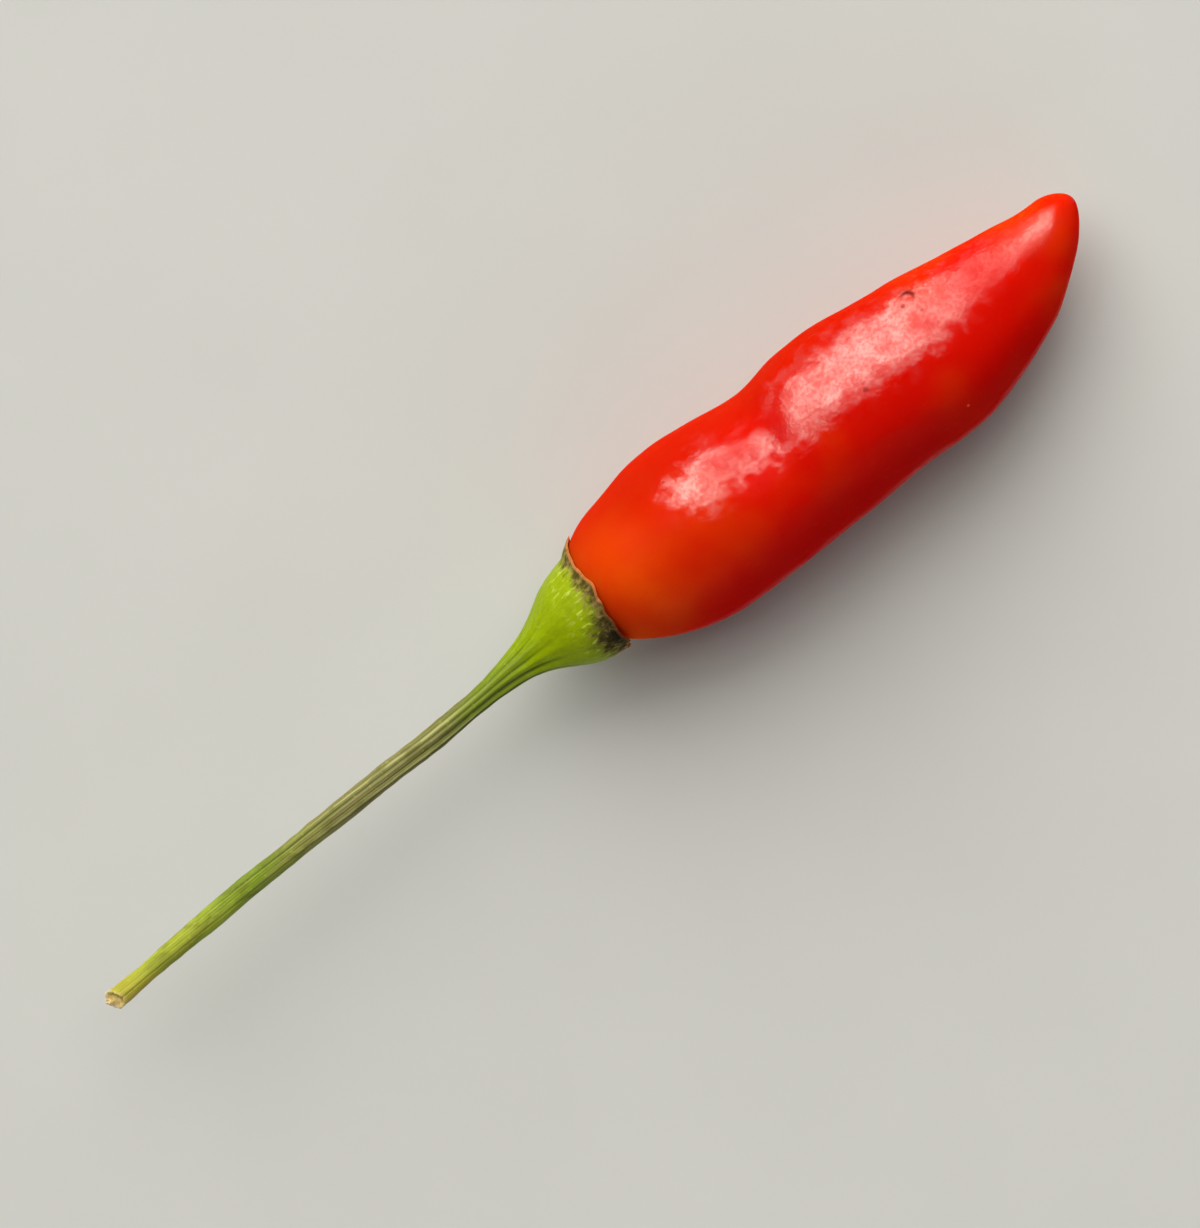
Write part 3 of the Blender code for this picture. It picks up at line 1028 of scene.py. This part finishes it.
shade = leather.fade(near_flap, 0.02, 0.5, 0.0, 0.6)
surface = leather.mix(shade, greens, SHADED_GREEN)
# Painted highlight: pale glints, stretched lengthwise, near the rim.
painted_glints = leather.noise(leather.stretched(straight, (1.1, 4.0, 4.0), (0, 3, 0)), 1.0, 2.0)
painted_glints = leather.fade(painted_glints, 0.56, 0.66)
painted_glints = leather.math("MULTIPLY", painted_glints, leather.fade(edge, 3.2, 1.2, 0.0, 0.7))
surface = leather.mix(painted_glints, surface, PAINTED_GLINT_GREEN)
leather.report()

# %% Dry the rim
RIM_DARK, RIM_TAN, PAINTED_GLOW_ORANGE = colour(80, 68, 24), colour(150, 132, 78), colour(214, 122, 72)
FLAP_DRY_AND_SHADE, FLAP_TAN = colour(22, 18, 4), colour(124, 104, 54)

fray = leather.noise(leather.stretched(straight, (0.9, 1.8, 1.8)), 1.0, 3.0, 0.6)
frayed_edge = leather.math("ADD", edge, leather.fade(fray, 0.25, 0.75, -0.45, 0.45))
frayed_flap = leather.math("ADD", near_flap, leather.fade(fray, 0.3, 0.7, -0.25, 0.25))
band = leather.fade(frayed_edge, 0.25, 1.30, 1.0, 0.0)
patch = leather.fade(frayed_flap, 0.28, 0.60)
dryness = leather.math("MAXIMUM", band, patch)

flecks = leather.noise(leather.stretched(straight, (2.4, 3.2, 3.2)), 1.0, 3.0, 0.65)
dry_rim = leather.mix(leather.fade(flecks, 0.36, 0.66), RIM_DARK, RIM_TAN)
# Dried tissue by the flap, made nearly black with painted shade.
dry_and_shaded_flap = leather.mix(leather.fade(flecks, 0.55, 0.74), FLAP_DRY_AND_SHADE, FLAP_TAN)
surface = leather.mix(dryness, surface, leather.mix(near_flap, dry_rim, dry_and_shaded_flap))

# Painted glow: the very edge is tinted orange, as if lit through from the pod behind.
painted_glow = leather.math("ADD", fray, leather.math("MULTIPLY", near_flap, 0.6))
painted_glow = leather.fade(painted_glow, 0.45, 0.75, 0.85, 0.15)
painted_glow = leather.math("MULTIPLY", painted_glow, leather.fade(edge, 0.05, 0.15, 1.0, 0.0))
surface = leather.mix(painted_glow, surface, PAINTED_GLOW_ORANGE)
leather.surface(Base_Color=surface)
leather.report()

# %% Crumple and dull the calyx
CRUMPLE_HEIGHT, LEATHER_FIBRE_HEIGHT = 4.0e-5, 1.5e-5
crumple = leather.noise(leather.mm, 1.6, 3.0, 0.6)
relief = leather.bump(crumple, CRUMPLE_HEIGHT)
relief = leather.bump(fibres, LEATHER_FIBRE_HEIGHT, relief)
leather.surface(
    Normal=relief,
    Roughness=leather.fade(dryness, 0.0, 1.0, 0.42, 0.75),
    Specular_IOR_Level=0.08,
    Subsurface_Weight=0.10,
    Subsurface_Radius=(0.5, 1.0, 0.1),
    Subsurface_Scale=0.0006,
)
leather.report()

# %% [markdown]
# ## The stalk and its scar
#
# The same green runs down the stalk. At the break the outer skin dries to cream, most of all on
# the lower lip, which stands out, and the pith in the hollow is ochre, painted lighter than it is
# as painted light, because the hollow lies in shade. A distance from the lip, less than 0 inside
# the hollow, tells the two apart.

# %% Finish the pedicel
stalk = Finish(pedicel, "ribbed_stalk")
greens, fibres, straight = green_skin(stalk)
CREAM, PAINTED_LIGHT_PITH_OCHRE, PAINTED_LIGHT_PITH_PALE = colour(236, 216, 170), colour(214, 180, 84), colour(240, 220, 146)
KNOBBLE_HEIGHT, STALK_FIBRE_HEIGHT = 2.0e-5, 2.5e-5
END_HEIGHT = AXIS[0][2]
from_scar = stalk.mark("scar")
height = stalk.add("SeparateXYZ", "Z", {0: stalk.mm})

cream = stalk.fade(from_scar, 0.04, 0.28, 0.95, 0.0)
lower = stalk.fade(height, END_HEIGHT + 0.4, END_HEIGHT - 0.2, 0.2, 1.0)
cream = stalk.math("MULTIPLY", cream, lower)
surface = stalk.mix(cream, greens, CREAM)

spongy = stalk.fade(stalk.noise(stalk.mm, 4.0, 3.0, 0.6), 0.4, 0.6)
inside = stalk.fade(from_scar, -0.26, -0.14, 1.0, 0.0)
upper = stalk.fade(height, END_HEIGHT - 0.35, END_HEIGHT - 0.05)
inside = stalk.math("MULTIPLY", inside, upper)
# Painted light: the pith's colours are lighter than its real ochre, because the hollow lies in shade.
surface = stalk.mix(inside, surface, stalk.mix(spongy, PAINTED_LIGHT_PITH_OCHRE, PAINTED_LIGHT_PITH_PALE))
stalk.surface(Base_Color=surface)

relief = stalk.bump(stalk.noise(stalk.mm, 2.6, 3.0, 0.6), KNOBBLE_HEIGHT)
relief = stalk.bump(fibres, STALK_FIBRE_HEIGHT, relief)
stalk.surface(
    Normal=relief,
    Roughness=stalk.fade(stalk.noise(straight, 1.2), 0.3, 0.7, 0.45, 0.62),
    Specular_IOR_Level=0.2,
    Subsurface_Weight=0.08,
    Subsurface_Radius=(0.6, 1.0, 0.1),
    Subsurface_Scale=0.0004,
)
stalk.report()

# %% [markdown]
# ## The surface below
#
# A pale, dull floor keeps the eye on the pepper and lets its shadow read. Further out it fades
# into the colour of the sky, as a photographer's paper does where it curves up behind the object.
# An edge between floor and sky would cut through every low view.

# %% Lay the floor
# half a side in metres, and in millimetres how far away the floor starts and ends its fade
FLOOR_HALF, FADE_START, FADE_END = 3.0, 120, 800
PAPER_DARK, PAPER_PALE = colour(197, 200, 203), colour(202, 205, 208)
SKY_TINT, SKY_STRENGTH = (1.0, 0.98, 0.95), 0.62
floor_mesh = bpy.data.meshes.new("studio_floor")
corners = [(x * FLOOR_HALF, y * FLOOR_HALF, 0) for x, y in ((-1, -1), (1, -1), (1, 1), (-1, 1))]
floor_mesh.from_pydata(corners, [], [(0, 1, 2, 3)])
floor = bpy.data.objects.new("studio_floor", floor_mesh)
bpy.context.scene.collection.objects.link(floor)
paper = Finish(floor, "pale_paper")
paper.surface(
    Base_Color=paper.mix(paper.noise(paper.mm, 0.08), PAPER_DARK, PAPER_PALE),
    Roughness=0.8,
    Specular_IOR_Level=0.2,
)
away = paper.add("VectorMath", "Value", {0: paper.mm}, operation="LENGTH")
haze = paper.add("Emission", 0, {"Color": SKY_TINT, "Strength": SKY_STRENGTH})
far = paper.fade(away, FADE_START, FADE_END)
blend = paper.add("MixShader", 0, {0: far, 1: paper.shader.outputs[0], 2: haze})
paper.feed(paper.tree.nodes["Material Output"].inputs["Surface"], blend)
floor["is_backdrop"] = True
print(f"floor {2 * FLOOR_HALF:.0f} m wide, all sky from {FADE_END} mm on")

# %% [markdown]
# ## The light
#
# One wide window to the side lays the broad highlight along the top of the pod, and a smaller one
# in it makes the highlight's middle brighter. A glossy slope that leans by some angle shows what
# is twice as far over, so the window's lean sets where the highlight lies, and its size how wide
# it is. A dim card opposite keeps the other flank red, and a faint, even sky fills the shadows.
# The camera alone sees that sky paler than it is. A film-like view would turn the reds pale, so
# colours are shown as they are.

# %% Hang the window
from mathutils import Matrix, Vector

LAMP_SIDE, LAMP_DISTANCE = Vector((0.35, 0.94, 0)).normalized(), 1.5
LAMP_TINT = (1.0, 0.95, 0.83)

# name, lean from straight above in degrees, side in metres, power in watts
LAMPS = [("window", 46, 2.4, 34), ("window_middle", 53, 1.5, 17), ("card", -80, 1.6, 6.5)]


def facing(place, target, up):
    """A matrix at the place, whose -Z looks at the target and whose Y is as near up as it can be:
    Z points back from the target, X is up crossed with Z, and Y is Z crossed with X."""
    back = (place - target).normalized()
    right = up.cross(back).normalized()
    turn = Matrix((right, back.cross(right), back)).transposed()
    return Matrix.Translation(place) @ turn.to_4x4()


middle = (model_low + model_high) / 2
up = Vector((0, 0, 1))
for name, degrees, size, power in LAMPS:
    lean = np.radians(degrees)
    lamp_place = middle + (up * np.cos(lean) + LAMP_SIDE * np.sin(lean)) * LAMP_DISTANCE
    lamp_data = bpy.data.lights.new(name, "AREA")
    lamp_data.shape = "SQUARE"
    lamp_data.size = size
    lamp_data.energy = power
    lamp_data.color = LAMP_TINT
    lamp = bpy.data.objects.new(name, lamp_data)
    lamp.matrix_world = facing(lamp_place, middle, up)
    bpy.context.scene.collection.objects.link(lamp)
    print(f"{name}: {lamp_place.z:.2f} m up, {size} m wide")

# %% Fill the sky
FILL_STRENGTH = 0.11
world = bpy.data.worlds.new("studio")
bpy.context.scene.world = world
world.use_nodes = True
sky = world.node_tree
paths = sky.nodes.new("ShaderNodeLightPath")
brightness = sky.nodes.new("ShaderNodeMapRange")
brightness.inputs["To Min"].default_value = FILL_STRENGTH
brightness.inputs["To Max"].default_value = SKY_STRENGTH
sky.links.new(paths.outputs["Is Camera Ray"], brightness.inputs["Value"])
sky.links.new(brightness.outputs["Result"], sky.nodes["Background"].inputs["Strength"])
sky.nodes["Background"].inputs["Color"].default_value = (*SKY_TINT, 1)
bpy.context.scene.view_settings.view_transform = "Standard"
print(f"sky of strength {SKY_STRENGTH} to the camera, {FILL_STRENGTH} to the pepper")

# %% [markdown]
# ## The camera
#
# The pepper is seen from almost straight above, a little from the side of its tip, with the tip
# up and to the right. A short lens close by would show it as large, but it would shrink the end
# of the stalk, so a long lens looks from half a metre away.

# %% Place the camera
CAMERA_OFFSET = Vector((0.043, 0.020, 0.55))
IMAGE_UP = Vector((0.643, 0.766, 0))
LENS = 262.0
camera_data = bpy.data.cameras.new("camera")
camera_data.lens = LENS
camera_data.clip_start = 0.01
camera = bpy.data.objects.new("camera", camera_data)
camera.matrix_world = facing(middle + CAMERA_OFFSET, middle, IMAGE_UP)
bpy.context.scene.collection.objects.link(camera)
bpy.context.scene.camera = camera
print(f"camera {CAMERA_OFFSET.length:.2f} m away, {LENS:.0f} mm lens")

# %% [markdown]
# ## Measure and finish
#
# The visual pepper has to be the size of the imported one. Both boxes are printed, so that they
# can be set side by side.

visual_low, visual_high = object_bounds()
boxes = {
    "cad": [list(model_low), list(model_high)],
    "visual": [list(visual_low), list(visual_high)],
}
for name, (low, high) in boxes.items():
    print(name, [f"{a / MM:.2f} to {b / MM:.2f}" for a, b in zip(low, high)])
